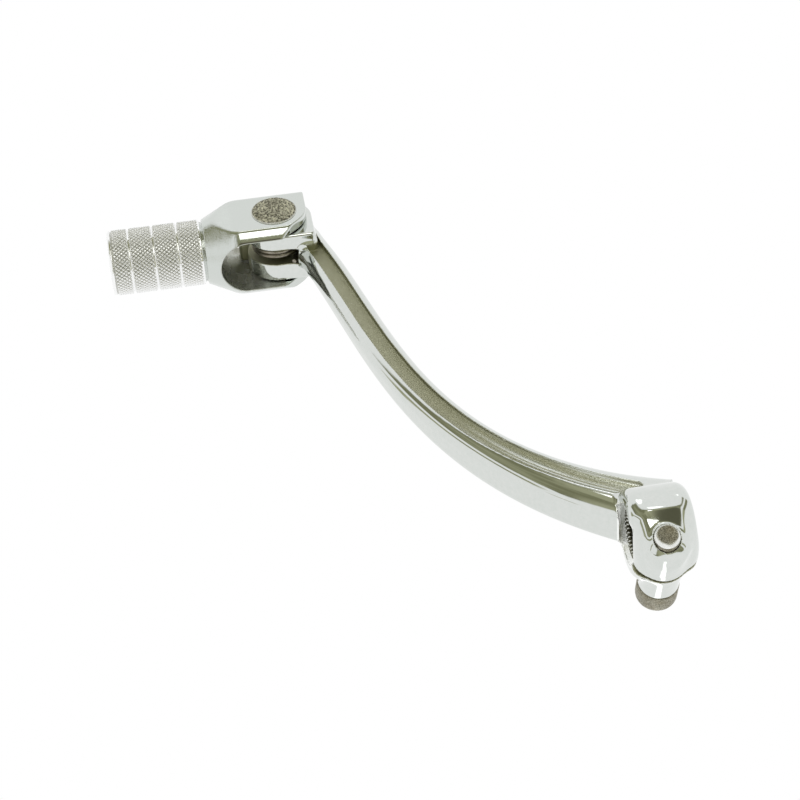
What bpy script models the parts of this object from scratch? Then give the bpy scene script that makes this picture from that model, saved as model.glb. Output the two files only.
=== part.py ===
"""Folding gear shift lever: forged arm with a split clamp, hinged toe peg, rivet, spring and pinch bolt.

Metres. +X runs forward along the lever, +Y outwards along the shift shaft, +Z up.
The origin is the middle of the splined bore, on the pinch bolt's plane.
"""

import math

import bmesh
import bpy
from mathutils import Matrix, Vector

MM = 0.001

# Clamp boss, in its own frame: bore along Y, pinch bolt along the tilted Z.
CLAMP_TILT = math.radians(20.8)
BOSS_RADIUS = 10.2 * MM
BOSS_OUTER_FACE = 6.7 * MM
BOSS_INNER_FACE = -7.6 * MM
BOSS_INNER_EDGE_RADIUS = 2.6 * MM
BOSS_OUTER_EDGE_RADIUS = 1.8 * MM
BORE_CHAMFER = 1.2 * MM
SPLINE_TEETH = 36
SPLINE_ROOT_RADIUS = 5.85 * MM
SPLINE_TIP_RADIUS = 5.35 * MM
SLIT_WIDTH = 1.2 * MM

# Pinch bolt, M6 socket head cap screw.
BOLT_OFFSET = -7.6 * MM
BOLT_RADIUS = 3.0 * MM
BOLT_HOLE_RADIUS = 3.3 * MM
BOLT_HEAD_RADIUS = 4.8 * MM
BOLT_HEAD_HEIGHT = 5.9 * MM
SOCKET_FLATS = 5.0 * MM
SOCKET_DEPTH = 3.0 * MM
BOLT_SEAT = -10.0 * MM
BOLT_TIP = 12.6 * MM
UPPER_EAR_TOP = 11.2 * MM
EAR_ROOT = 2.0 * MM
EAR_RADIUS = 4.7 * MM
SEAT_BOSS_RADIUS = 4.8 * MM
SPOT_FACE_RADIUS = 5.5 * MM

# Arm: one cubic Bezier in plan, with a section that widens towards the boss.
ARM_START = Vector((5.4, -3.8)) * MM
ARM_START_HEADING = math.radians(67.3)
ARM_START_REACH = 57.1 * MM
ARM_END = Vector((119.9, 61.6)) * MM
ARM_END_HEADING = math.radians(17.0)
ARM_END_REACH = 39.5 * MM
ARM_WIDTH_AT_BOSS = 17.0 * MM
ARM_WIDTH_AT_TIP = 9.1 * MM
ARM_HEIGHT_AT_BOSS = 11.8 * MM
ARM_HEIGHT_AT_TIP = 6.6 * MM
ARM_DROP_AT_BOSS = 1.0 * MM
ARM_FLAT_HALF_WIDTH = 1.2 * MM
ARM_CORNER_RADIUS = 3.0 * MM
ARM_STATIONS = 40
RECESS_WIDTH = 4.1 * MM
RECESS_DEPTH = 1.6 * MM
RECESS_START = 0.09
RECESS_END = 0.985

# Fold pivot and the fork around it.
PIVOT = Vector((128.6, 70.9, 0.0)) * MM
FORK_HALF_HEIGHT = 6.9 * MM
FORK_EYE_RADIUS = 7.8 * MM
FORK_ROOT = 61.3 * MM
FORK_CORNER_RADIUS = 6.0 * MM
STOP_CORNER_REACH = 9.8 * MM
FORK_SLOT_TOP = 2.6 * MM
FORK_SLOT_BOTTOM = -1.8 * MM
FORK_SLOT_CUTTER_RADIUS = 16.0 * MM
FORK_SLOT_DEPTH = 7.2 * MM

# Toe peg: clevis head, cone and gripped cylinder turned about one axis along Y.
HEAD_RADIUS = 12.2 * MM
HEAD_HALF_HEIGHT = 9.8 * MM
HEAD_END = 62.6 * MM
CONE_START = 82.0 * MM
CONE_END = 89.7 * MM
NECK_RADIUS = 7.6 * MM
PEG_RADIUS = 8.4 * MM
PEG_END = 114.4 * MM
PEG_CHAMFER = 0.8 * MM
GRIP_GROOVES = [96.5 * MM, 102.75 * MM, 109.0 * MM]
GROOVE_HALF_WIDTH = 0.6 * MM
GROOVE_DEPTH = 0.6 * MM
JAW_SLOT_HALF_HEIGHT = 7.2 * MM
JAW_SLOT_CENTRE = 79.0 * MM
JAW_CUT_ANGLE = math.radians(47.0)
JAW_CUT_RADIUS = 9.0 * MM
JAW_CUT_START = 129.6 * MM

# Rivet through the jaws and the fork.
RIVET_RADIUS = 3.0 * MM
RIVET_HOLE_RADIUS = 3.3 * MM
RIVET_HEAD_RADIUS = 5.8 * MM
RIVET_HEAD_HEIGHT = 0.7 * MM
MESH_GAP = 0.2 * MM

# Return spring around the rivet, in the fork's slot.
WIRE_RADIUS = 0.6 * MM
COIL_RADIUS = 6.0 * MM
COIL_PITCH = 1.26 * MM
COIL_BASE = -1.1 * MM
COIL_START = math.radians(-110.0)
COIL_TURNS = 2 + 110.0 / 360.0
FORK_LEG_LENGTH = 6.1 * MM
PEG_LEG_END = 87.2 * MM
LEG_HOLE_RADIUS = 0.95 * MM
LEG_HOLE_END = 87.6 * MM

ROUND = 48


def clear_scene():
    for obj in list(bpy.data.objects):
        bpy.data.objects.remove(obj)


def make_material(name, colour, roughness):
    material = bpy.data.materials.new(name)
    material.use_nodes = True
    shader = material.node_tree.nodes["Principled BSDF"]
    shader.inputs["Base Color"].default_value = (*colour, 1.0)
    shader.inputs["Roughness"].default_value = roughness
    shader.inputs["Metallic"].default_value = 1.0
    return material


def add_object(name, bm, material=None, matrix=None, origin=None):
    """Turns a bmesh into an object, with its origin at a world point."""
    if matrix:
        bm.transform(matrix)
    if origin:
        bm.transform(Matrix.Translation(-origin))
    bmesh.ops.recalc_face_normals(bm, faces=bm.faces)
    mesh = bpy.data.meshes.new(name)
    bm.to_mesh(mesh)
    bm.free()
    obj = bpy.data.objects.new(name, mesh)
    bpy.context.scene.collection.objects.link(obj)
    if origin:
        obj.location = origin
    if material:
        mesh.materials.append(material)
    return obj


def combine(obj, tools, operation):
    """Adds one Boolean modifier for each tool solid and hides the tools."""
    for tool in tools:
        modifier = obj.modifiers.new(tool.name, "BOOLEAN")
        modifier.operation = operation
        modifier.solver = "EXACT"
        modifier.object = tool
        tool.hide_render = True
        tool.display_type = "WIRE"


def skin(rings):
    """Closed skin over rings of points that all have the same count."""
    bm = bmesh.new()
    loops = [[bm.verts.new(point) for point in ring] for ring in rings]
    count = len(loops[0])
    for low, high in zip(loops, loops[1:]):
        for index in range(count):
            following = (index + 1) % count
            bm.faces.new((low[index], low[following], high[following], high[index]))
    bm.faces.new(loops[0][::-1])
    bm.faces.new(loops[-1])
    return bm


def prism(outline, low, high):
    """Outline in X and Y, extruded along Z."""
    return skin([[(x, y, low) for x, y in outline], [(x, y, high) for x, y in outline]])


def prism_along_y(outline, low, high):
    """Outline in X and Z, extruded along Y."""
    return skin([[(x, low, z) for x, z in outline], [(x, high, z) for x, z in outline]])


def prism_along_x(outline, low, high):
    """Outline in Y and Z, extruded along X."""
    return skin([[(low, y, z) for y, z in outline], [(high, y, z) for y, z in outline]])


def arc(centre, radius, start, end, segments):
    """Points on an arc, with angles in degrees."""
    angles = [math.radians(start + (end - start) * step / segments) for step in range(segments + 1)]
    return [(centre[0] + radius * math.cos(a), centre[1] + radius * math.sin(a)) for a in angles]


def circle(centre, radius, segments=ROUND):
    return arc(centre, radius, 0, 360, segments)[:-1]


def turned(profile, segments=ROUND):
    """Solid of revolution about Y, from (station, radius) pairs."""
    rings = []
    for station, radius in profile:
        rings.append([(x, station, z) for x, z in circle((0, 0), radius, segments)])
    return skin(rings)


# ---------------------------------------------------------------- lever arm

def arm_point(t):
    """Centre line of the arm in plan, and its unit heading, at t from 0 to 1."""
    lead = Vector((math.cos(ARM_START_HEADING), math.sin(ARM_START_HEADING)))
    tail = Vector((math.cos(ARM_END_HEADING), math.sin(ARM_END_HEADING)))
    a = ARM_START
    b = ARM_START + lead * ARM_START_REACH
    c = ARM_END - tail * ARM_END_REACH
    d = ARM_END
    s = 1 - t
    point = a * s**3 + b * 3 * s * s * t + c * 3 * s * t * t + d * t**3
    heading = (b - a) * 3 * s * s + (c - b) * 6 * s * t + (d - c) * 3 * t * t
    return point, heading.normalized()


def arm_width(t):
    """Width in plan: narrow at the tip, growing fast near the boss."""
    return ARM_WIDTH_AT_TIP + (ARM_WIDTH_AT_BOSS - ARM_WIDTH_AT_TIP) * (1 - t)**6


def arm_height(t):
    """Height of the section: low at the tip, level again near the boss."""
    s = 1 - t
    return ARM_HEIGHT_AT_TIP + (ARM_HEIGHT_AT_BOSS - ARM_HEIGHT_AT_TIP) * (1.6 * s**2 - 0.6 * s**6)


def arm_lift(t):
    """Height of the section's middle."""
    return -ARM_DROP_AT_BOSS * (1 - t)**4


def rounded_box(width, height, across, up, segments):
    """Rectangle whose corners are quarter ellipses of half-axes across and up."""
    x = width / 2 - across
    z = height / 2 - up
    points = []
    for start, sx, sz in ((0, 1, 1), (90, -1, 1), (180, -1, -1), (270, 1, -1)):
        for a, b in arc((0, 0), 1.0, start, start + 90, segments):
            points.append((sx * x + across * a, sz * z + up * b))
    return points


def sweep_along_arm(start, end, stations, section_at):
    """Sweeps section_at(t), a list of (sideways, up) pairs, along the centre line."""
    rings = []
    for step in range(stations + 1):
        t = start + (end - start) * step / stations
        point, heading = arm_point(t)
        side = Vector((-heading.y, heading.x))
        ring = [(*(point + side * across), up) for across, up in section_at(t)]
        rings.append(ring)
    return skin(rings)


def build_beam():
    def section(t):
        across = arm_width(t) / 2 - ARM_FLAT_HALF_WIDTH
        box = rounded_box(arm_width(t), arm_height(t), across, ARM_CORNER_RADIUS, 5)
        return [(across, up + arm_lift(t)) for across, up in box]
    return sweep_along_arm(0.0, 1.0, ARM_STATIONS, section)


def build_recess(face):
    """Cutter for the shallow recess in the arm's top (face 1) or bottom (face -1)."""
    above = face * 10 * MM
    half = RECESS_WIDTH / 2
    draft = 0.3 * MM

    def section(t):
        floor = arm_lift(t) + face * (arm_height(t) / 2 - RECESS_DEPTH)
        return [(-half - draft, above), (-half + draft, floor), (half - draft, floor), (half + draft, above)]
    return sweep_along_arm(RECESS_START, RECESS_END, ARM_STATIONS, section)


def build_fork_block():
    """Solid block at the arm's tip: round eye behind, square stop corner in front."""
    px, py = PIVOT.x, PIVOT.y
    r = FORK_EYE_RADIUS
    c = FORK_CORNER_RADIUS
    outline = arc((px, py), r, 180, 90, 12)
    outline += [(px + 0.55 * r, py + STOP_CORNER_REACH)]
    outline += [(px + r, py + STOP_CORNER_REACH - 1.2 * MM)]
    outline += arc((px + r - c, FORK_ROOT + c), c, 0, -90, 8)
    outline += [(px - r - 4.0 * MM, FORK_ROOT - 1.2 * MM)]
    outline += [(px - r - 1.5 * MM, FORK_ROOT + 2.4 * MM)]
    outline += [(px - r, FORK_ROOT + 3.6 * MM)]
    return prism(outline, -FORK_HALF_HEIGHT, FORK_HALF_HEIGHT)


def build_fork_web():
    """Wedge that carries the arm's inboard side into the fork block."""
    point, heading = arm_point(1.0)
    side = Vector((heading.y, -heading.x))
    start = point + side * (ARM_WIDTH_AT_TIP / 2) - heading * 0.5 * MM
    outline = [tuple(start), (PIVOT.x - 2 * MM, FORK_ROOT), (PIVOT.x - 4 * MM, FORK_ROOT + 3 * MM), tuple(point)]
    half = ARM_HEIGHT_AT_TIP / 2 - 0.3 * MM
    return prism(outline, -half, half)


def build_fork_slot():
    centre = (PIVOT.x, PIVOT.y - FORK_SLOT_DEPTH + FORK_SLOT_CUTTER_RADIUS)
    return prism(circle(centre, FORK_SLOT_CUTTER_RADIUS), FORK_SLOT_BOTTOM, FORK_SLOT_TOP)


def build_ring():
    """Boss ring about the bore, with rounded edges, before the bore is cut."""
    e = BOSS_INNER_EDGE_RADIUS
    profile = arc((BOSS_INNER_FACE + e, BOSS_RADIUS - e), e, 180, 90, 5)
    e = BOSS_OUTER_EDGE_RADIUS
    profile += arc((BOSS_OUTER_FACE - e, BOSS_RADIUS - e), e, 90, 0, 4)
    return turned(profile)


def build_ear(low, high, radius):
    """Tongue of the clamp around the pinch bolt, reaching back to the ring."""
    outline = arc((BOLT_OFFSET, 0), radius, 90, 270, 16)
    outline += [(EAR_ROOT, -radius), (EAR_ROOT, radius)]
    return prism(outline, low, high)


def build_spline_cutter():
    points = []
    for tooth in range(SPLINE_TEETH):
        for part, radius in ((0.0, SPLINE_ROOT_RADIUS), (0.5, SPLINE_TIP_RADIUS)):
            angle = 2 * math.pi * (tooth + part) / SPLINE_TEETH
            points.append((radius * math.cos(angle), radius * math.sin(angle)))
    return prism_along_y(points, -2 * BOSS_RADIUS, BOSS_OUTER_FACE - 0.1 * MM)


def build_mouth_cutter():
    """Conical lead-in at the bore's outer mouth, with a round clearance beyond it."""
    mouth = SPLINE_ROOT_RADIUS + 0.4 * MM
    profile = [
        (BOSS_OUTER_FACE - BORE_CHAMFER, SPLINE_TIP_RADIUS - 0.3 * MM),
        (BOSS_OUTER_FACE, mouth),
        (BOSS_OUTER_FACE + 12 * MM, mouth),
    ]
    return turned(profile)


def build_slit_cutter():
    half = SLIT_WIDTH / 2
    outline = [(-20 * MM, -half), (-3 * MM, -half), (-3 * MM, half), (-20 * MM, half)]
    return prism_along_y(outline, -2 * BOSS_RADIUS, 2 * BOSS_RADIUS)


def build_lever_arm(material):
    tilt = Matrix.Rotation(-CLAMP_TILT, 4, "Y")
    arm = add_object("lever_arm", build_beam(), material)
    added = [
        add_object("arm_fork_block", build_fork_block()),
        add_object("arm_fork_web", build_fork_web()),
        add_object("arm_boss_ring", build_ring(), matrix=tilt),
        add_object("arm_upper_ear", build_ear(0, UPPER_EAR_TOP, EAR_RADIUS), matrix=tilt),
        add_object("arm_lower_ear", build_ear(BOLT_SEAT, 0, SEAT_BOSS_RADIUS), matrix=tilt),
    ]
    bolt_hole = prism(circle((BOLT_OFFSET, 0), BOLT_HOLE_RADIUS), -20 * MM, 20 * MM)
    spot_face = prism(circle((BOLT_OFFSET, 0), SPOT_FACE_RADIUS), -20 * MM, BOLT_SEAT)
    rivet_hole = prism(circle(PIVOT.xy, RIVET_HOLE_RADIUS), -20 * MM, 20 * MM)
    removed = [
        add_object("cut_top_recess", build_recess(1)),
        add_object("cut_bottom_recess", build_recess(-1)),
        add_object("cut_fork_slot", build_fork_slot()),
        add_object("cut_fork_hole", rivet_hole),
        add_object("cut_bolt_hole", bolt_hole, matrix=tilt),
        add_object("cut_spot_face", spot_face, matrix=tilt),
        add_object("cut_slit", build_slit_cutter(), matrix=tilt),
        add_object("cut_mouth", build_mouth_cutter(), matrix=tilt),
        add_object("cut_spline", build_spline_cutter(), matrix=tilt),
    ]
    combine(arm, added, "UNION")
    combine(arm, removed, "DIFFERENCE")
    return arm


# ---------------------------------------------------------------- toe peg

def peg_profile():
    """Stations and radii from the clevis jaws out to the peg's end face."""
    profile = [(HEAD_END - 2 * MM, HEAD_RADIUS), (CONE_START, HEAD_RADIUS)]
    profile += [(CONE_END, PEG_RADIUS), (CONE_END + 0.1 * MM, NECK_RADIUS)]
    profile += [(CONE_END + 0.9 * MM, NECK_RADIUS), (CONE_END + 1.3 * MM, PEG_RADIUS)]
    for groove in GRIP_GROOVES:
        profile += [(groove - GROOVE_HALF_WIDTH, PEG_RADIUS)]
        profile += [(groove - GROOVE_HALF_WIDTH / 2, PEG_RADIUS - GROOVE_DEPTH)]
        profile += [(groove + GROOVE_HALF_WIDTH / 2, PEG_RADIUS - GROOVE_DEPTH)]
        profile += [(groove + GROOVE_HALF_WIDTH, PEG_RADIUS)]
    profile += [(PEG_END - PEG_CHAMFER, PEG_RADIUS), (PEG_END, PEG_RADIUS - PEG_CHAMFER)]
    return profile


def build_jaw_end_cutter():
    """Takes the jaws' rear corner off along a slanted line with a round start."""
    sweep = math.degrees(JAW_CUT_ANGLE)
    centre = (JAW_CUT_START, HEAD_END + JAW_CUT_RADIUS)
    corner = arc(centre, JAW_CUT_RADIUS, -90, -90 - sweep, 8)
    along = 25 * MM
    far = (corner[-1][0] - along * math.cos(JAW_CUT_ANGLE), corner[-1][1] + along * math.sin(JAW_CUT_ANGLE))
    outline = [(PIVOT.x + 30 * MM, HEAD_END)]
    outline += corner
    outline += [far, (far[0], HEAD_END - 10 * MM), (PIVOT.x + 30 * MM, HEAD_END - 10 * MM)]
    return prism(outline, -20 * MM, 20 * MM)


def build_jaw_slot():
    r = JAW_SLOT_HALF_HEIGHT
    outline = arc((JAW_SLOT_CENTRE, 0), r, -90, 90, 20)
    outline += [(HEAD_END - 10 * MM, r), (HEAD_END - 10 * MM, -r)]
    return prism_along_x(outline, PIVOT.x - 20 * MM, PIVOT.x + 20 * MM)


def build_flat_cutter(face):
    outline = [(PIVOT.x - 20 * MM, 50 * MM), (PIVOT.x + 20 * MM, 50 * MM)]
    outline += [(PIVOT.x + 20 * MM, 95 * MM), (PIVOT.x - 20 * MM, 95 * MM)]
    return prism(outline, face * HEAD_HALF_HEIGHT, face * 20 * MM)


def peg_leg_point():
    """Where the spring's last turn leaves for the peg, with its height."""
    return Vector((PIVOT.x + COIL_RADIUS, PIVOT.y, COIL_BASE + COIL_PITCH * COIL_TURNS))


def build_leg_hole():
    leg = peg_leg_point()
    outline = circle((leg.x, leg.z), LEG_HOLE_RADIUS, 16)
    return prism_along_y(outline, JAW_SLOT_CENTRE, LEG_HOLE_END)


def build_toe_peg(material):
    body = turned(peg_profile())
    body.transform(Matrix.Translation((PIVOT.x, 0, 0)))
    peg = add_object("toe_peg", body, material, origin=PIVOT)
    rivet_hole = prism(circle(PIVOT.xy, RIVET_HOLE_RADIUS), -20 * MM, 20 * MM)
    removed = [
        add_object("cut_top_flat", build_flat_cutter(1)),
        add_object("cut_bottom_flat", build_flat_cutter(-1)),
        add_object("cut_jaw_end", build_jaw_end_cutter()),
        add_object("cut_jaw_slot", build_jaw_slot()),
        add_object("cut_peg_hole", rivet_hole),
        add_object("cut_leg_hole", build_leg_hole()),
    ]
    combine(peg, removed, "DIFFERENCE")
    return peg


# ---------------------------------------------------------------- small parts

def build_pivot_rivet(material):
    seat = HEAD_HALF_HEIGHT + MESH_GAP
    top = seat + RIVET_HEAD_HEIGHT
    rim = seat + 0.6 * RIVET_HEAD_HEIGHT
    stations = [
        (-top, 0.86 * RIVET_HEAD_RADIUS),
        (-rim, RIVET_HEAD_RADIUS),
        (-seat, RIVET_HEAD_RADIUS),
        (-seat, RIVET_RADIUS),
        (seat, RIVET_RADIUS),
        (seat, RIVET_HEAD_RADIUS),
        (rim, RIVET_HEAD_RADIUS),
        (top, 0.86 * RIVET_HEAD_RADIUS),
    ]
    rings = [[(x, y, z) for x, y in circle(PIVOT.xy, radius)] for z, radius in stations]
    rivet = add_object("pivot_rivet", skin(rings), material, origin=PIVOT)
    return rivet


def spring_path():
    """Centre line of the wire: fork leg, coil, peg leg."""
    points = []
    first = Vector((math.cos(COIL_START), math.sin(COIL_START))) * COIL_RADIUS + PIVOT.xy
    backwards = Vector((math.sin(COIL_START), -math.cos(COIL_START)))
    points.append((*(first + backwards * FORK_LEG_LENGTH), COIL_BASE))
    points.append((*(first + backwards * FORK_LEG_LENGTH / 2), COIL_BASE))
    steps = round(COIL_TURNS * 28)
    for step in range(steps + 1):
        turn = COIL_TURNS * step / steps
        angle = COIL_START + 2 * math.pi * turn
        height = COIL_BASE + COIL_PITCH * turn
        points.append((PIVOT.x + COIL_RADIUS * math.cos(angle), PIVOT.y + COIL_RADIUS * math.sin(angle), height))
    leg = peg_leg_point()
    points.append((leg.x, (leg.y + PEG_LEG_END) / 2, leg.z))
    points.append((leg.x, PEG_LEG_END, leg.z))
    return [Vector(point) for point in points]


def build_return_spring(material):
    path = spring_path()
    rings = []
    for index, point in enumerate(path):
        ahead = path[min(index + 1, len(path) - 1)]
        behind = path[max(index - 1, 0)]
        heading = (ahead - behind).normalized()
        side = heading.cross(Vector((0, 0, 1))).normalized()
        up = side.cross(heading)
        ring = [tuple(point + side * x + up * y) for x, y in circle((0, 0), WIRE_RADIUS, 10)]
        rings.append(ring)
    return add_object("return_spring", skin(rings), material, origin=PIVOT)


def build_pinch_bolt(material):
    seat = BOLT_SEAT - MESH_GAP
    end = seat - BOLT_HEAD_HEIGHT
    corner = SOCKET_FLATS / 2 / math.cos(math.radians(30))
    chamfer = 0.5 * MM
    axis = (BOLT_OFFSET, 0)
    hexagon = []
    for side in range(6):
        first, last = arc(axis, corner, side * 60, side * 60 + 60, 1)
        hexagon += [tuple(Vector(first).lerp(Vector(last), step / 8)) for step in range(8)]
    layers = [
        (hexagon, end + SOCKET_DEPTH),
        (hexagon, end),
        (circle(axis, BOLT_HEAD_RADIUS - chamfer), end),
        (circle(axis, BOLT_HEAD_RADIUS), end + chamfer),
        (circle(axis, BOLT_HEAD_RADIUS), seat),
        (circle(axis, BOLT_RADIUS), seat),
        (circle(axis, BOLT_RADIUS), BOLT_TIP - chamfer),
        (circle(axis, BOLT_RADIUS - 0.6 * MM), BOLT_TIP),
    ]
    rings = [[(x, y, z) for x, y in outline] for outline, z in layers]
    tilt = Matrix.Rotation(-CLAMP_TILT, 4, "Y")
    return add_object("pinch_bolt", skin(rings), material, matrix=tilt)


def shade_round(obj, angle=35.0):
    """Smooth shading with the sharp edges kept."""
    bm = bmesh.new()
    bm.from_mesh(obj.data)
    for edge in bm.edges:
        if len(edge.link_faces) == 2:
            edge.smooth = edge.calc_face_angle() < math.radians(angle)
    for face in bm.faces:
        face.smooth = True
    bm.to_mesh(obj.data)
    bm.free()


def main():
    clear_scene()
    polished = make_material("polished_aluminium", (0.78, 0.79, 0.77), 0.16)
    turned_metal = make_material("knurled_aluminium", (0.74, 0.74, 0.72), 0.28)
    raw_steel = make_material("raw_steel", (0.42, 0.38, 0.31), 0.5)
    spring_steel = make_material("spring_steel", (0.38, 0.35, 0.3), 0.35)
    bolt_steel = make_material("bolt_steel", (0.33, 0.29, 0.23), 0.5)
    parts = [
        build_lever_arm(polished),
        build_toe_peg(turned_metal),
        build_pivot_rivet(raw_steel),
        build_return_spring(spring_steel),
        build_pinch_bolt(bolt_steel),
    ]
    for part in parts:
        shade_round(part)


main()
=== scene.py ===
"""Folding gear shift lever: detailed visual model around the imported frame.

+X runs forward along the lever, +Y outwards along the shift shaft, +Z up. Lengths are
millimetres down to the studio, and meshes are scaled to metres when they are made. The clamp
has its own frame, turned by CLAMP_TILT about the shaft: u forwards, w up along the pinch bolt.
"""

import math

import bpy
import numpy as np
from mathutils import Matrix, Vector


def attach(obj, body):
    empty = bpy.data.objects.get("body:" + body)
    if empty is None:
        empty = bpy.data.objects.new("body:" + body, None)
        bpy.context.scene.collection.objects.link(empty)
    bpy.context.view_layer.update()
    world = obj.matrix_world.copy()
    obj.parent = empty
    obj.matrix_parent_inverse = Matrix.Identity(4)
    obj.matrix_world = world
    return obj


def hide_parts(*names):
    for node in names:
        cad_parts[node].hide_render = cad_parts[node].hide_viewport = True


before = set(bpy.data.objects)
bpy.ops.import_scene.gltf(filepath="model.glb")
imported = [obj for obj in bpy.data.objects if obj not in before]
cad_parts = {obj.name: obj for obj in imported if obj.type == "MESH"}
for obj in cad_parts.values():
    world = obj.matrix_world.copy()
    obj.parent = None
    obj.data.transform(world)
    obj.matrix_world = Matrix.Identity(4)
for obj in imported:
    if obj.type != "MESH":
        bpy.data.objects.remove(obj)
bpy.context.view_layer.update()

MM = 0.001
OUTSIDE = 9.0     # a distance that is far enough from any surface
CHUNK = 200000    # points that are handled at a time

# ------------------------------------------------------------ shared sizes, mm

CLAMP_TILT = math.radians(20.8)
RING_RADIUS = 10.2
RING_OUTER = 6.7
RING_INNER = -7.9
RING_CUT_BACK = 0.95
RING_EDGE_INNER, RING_EDGE_OUTER = 2.9, 2.3
BORE_RADIUS = 5.95
MOUTH_DEPTH = 1.15
MOUTH_RADIUS = 6.9
TOOTH_COUNT = 36
TOOTH_ROOT = 5.85
TOOTH_HEIGHT = 0.55
SLIT_HALF = 0.7
SLIT_END = -3.0
EAR_TOP = 11.3
EAR_CREST_U, EAR_CREST_Y = -6.8, -0.3
EAR_FALL_NEAR, EAR_FALL = 0.12, 0.018
EAR_NEAR_START, EAR_NEAR_END = 8.0, 10.0
EAR_EDGE, EAR_EDGE_NEAR = 2.4, 1.2
COLLAR_INNER, COLLAR_OUTER = 3.15, 4.4
COLLAR_RISE = 0.3
COLLAR_SLOPE, COLLAR_SLOPE_NEAR = 1.1, 0.2
COLUMN_RADIUS = 4.7
UPPER_COLUMN_EXTRA = 0.7

BOLT_X = -7.6
BOLT_HOLE = 2.98
BOLT_SEAT = -10.0
BOLT_TIP = 12.6
BOLT_RADIUS = 3.0
BOLT_THREAD = 0.5
BOLT_HEAD_RADIUS = 4.8
BOLT_HEAD_HEIGHT = 5.9
SOCKET_HALF = 2.5

ARM_A = np.array((5.4, -3.8))
ARM_D = np.array((119.9, 61.6))
ARM_B = ARM_A + 57.1 * np.array((math.cos(math.radians(67.3)), math.sin(math.radians(67.3))))
ARM_C = ARM_D - 39.5 * np.array((math.cos(math.radians(17.0)), math.sin(math.radians(17.0))))
ARM_LENGTH = 130.0
ARM_WIDE_TIP, ARM_WIDE_BOSS = 4.55, 8.5
ARM_TALL_TIP, ARM_TALL_BOSS = 3.3, 5.9
ARM_BELLY = 1.6
ARM_DROP = 1.0
ARM_FLAT = 1.2
ARM_CROWN = 3.2
ARM_RUN_IN = 7.0
RECESS_HALF = 2.05
RECESS_DEPTH = 1.6
RECESS_SWAY = 0.8
RECESS_CORNER, RECESS_EDGE = 1.6, 0.45
RECESS_T0, RECESS_T1 = 0.035, 1.03

PIVOT_X, PIVOT_Y = 128.6, 70.9
RIVET_HOLE = 3.05
RIVET_SHANK = 3.0
RIVET_HEAD = 5.85
RIVET_RISE, RIVET_FALL = 0.62, 0.22
FORK_HALF = 6.9
FORK_EYE = 7.8
FORK_ROOT = 61.3
FORK_CORNER = 6.0
FORK_EDGE = 0.7
STOP_START = 3.0
STOP_REACH = 9.8
SPRING_SLOT_TOP, SPRING_SLOT_BOTTOM = 2.6, -1.8
SPRING_SLOT_DEPTH = 7.2
SPRING_SLOT_CUTTER = 16.0

HEAD_RADIUS = 12.2
HEAD_HALF = 9.8
HEAD_END = 62.6
HEAD_FLAT_X = 129.6
HEAD_CORNER = 9.0
HEAD_SLANT = math.radians(47.0)
JAW_HALF_GAP = 7.2
JAW_DEPTH = 79.0
CONE_START = 82.0
CONE_LENGTH = 7.7
NECK_RADIUS = 7.6
PEG_RADIUS = 8.4
PEG_START = 90.6
PEG_END = 114.4
GROOVES = (96.5, 102.75, 109.0)
GROOVE_DEPTH = 0.5
KNURL_STARTS = 50
KNURL_DEPTH = 0.34

COIL_RADIUS = 6.0
COIL_PITCH = 1.26
COIL_BASE = -1.1
WIRE_RADIUS = 0.6
LEG_HOLE = 0.95
LEG_HEIGHT = 1.79
LEG_END = 87.2
SHORT_LEG = 6.1


# ------------------------------------------------------------ distance fields

def smooth_max(a, b, k):
    h = np.maximum(k - np.abs(a - b), 0.0) / k
    return np.maximum(a, b) + h * h * k * 0.25


def smooth_min(a, b, k):
    return -smooth_max(-a, -b, k)


def rounded_pair(a, b, r):
    """Intersection of two half spaces or slabs, with an outside edge of radius r."""
    a = a + r
    b = b + r
    outside = np.hypot(np.maximum(a, 0), np.maximum(b, 0))
    return outside + np.minimum(np.maximum(a, b), 0) - r


def box2(x, y, x0, x1, y0, y1, r):
    """Rounded rectangle in a plane."""
    a = np.abs(x - (x0 + x1) / 2) - (x1 - x0) / 2
    b = np.abs(y - (y0 + y1) / 2) - (y1 - y0) / 2
    return rounded_pair(a, b, r)


def smoothstep(x, low, high):
    t = np.clip((x - low) / (high - low), 0, 1)
    return t * t * (3 - 2 * t)


def arm_curve(t):
    """The arm's centre line, a cubic Bezier: point, first and second derivative, as columns."""
    a, b, c, d = (point[:, None] for point in (ARM_A, ARM_B, ARM_C, ARM_D))
    first, second, third = 3 * (b - a), 3 * (c - 2 * b + a), d - 3 * c + 3 * b - a
    point = a + t * (first + t * (second + t * third))
    speed = first + t * (2 * second + 3 * t * third)
    return point, speed, 2 * second + 6 * t * third


def arm_frame(x, y):
    """Nearest point of the arm's centre line: parameter t, sideways and lengthwise distance."""
    samples = np.linspace(0, 1, 61)
    nodes = arm_curve(samples)[0]
    t = np.empty(x.shape)
    for start in range(0, x.size, CHUNK):
        part = slice(start, start + CHUNK)
        gap = (x[part, None] - nodes[0])**2 + (y[part, None] - nodes[1])**2
        t[part] = samples[gap.argmin(1)]
    place = np.stack([x, y])
    for _ in range(5):
        point, speed, bend = arm_curve(t)
        miss = point - place
        slope = (speed * speed + miss * bend).sum(0)
        t = np.clip(t - (miss * speed).sum(0) / np.maximum(slope, 50.0), 0, 1)
    point, speed, bend = arm_curve(t)
    miss = place - point
    size = np.hypot(speed[0], speed[1])
    along = (miss * speed).sum(0) / size
    side = (miss[1] * speed[0] - miss[0] * speed[1]) / size
    return t, side, along


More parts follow.
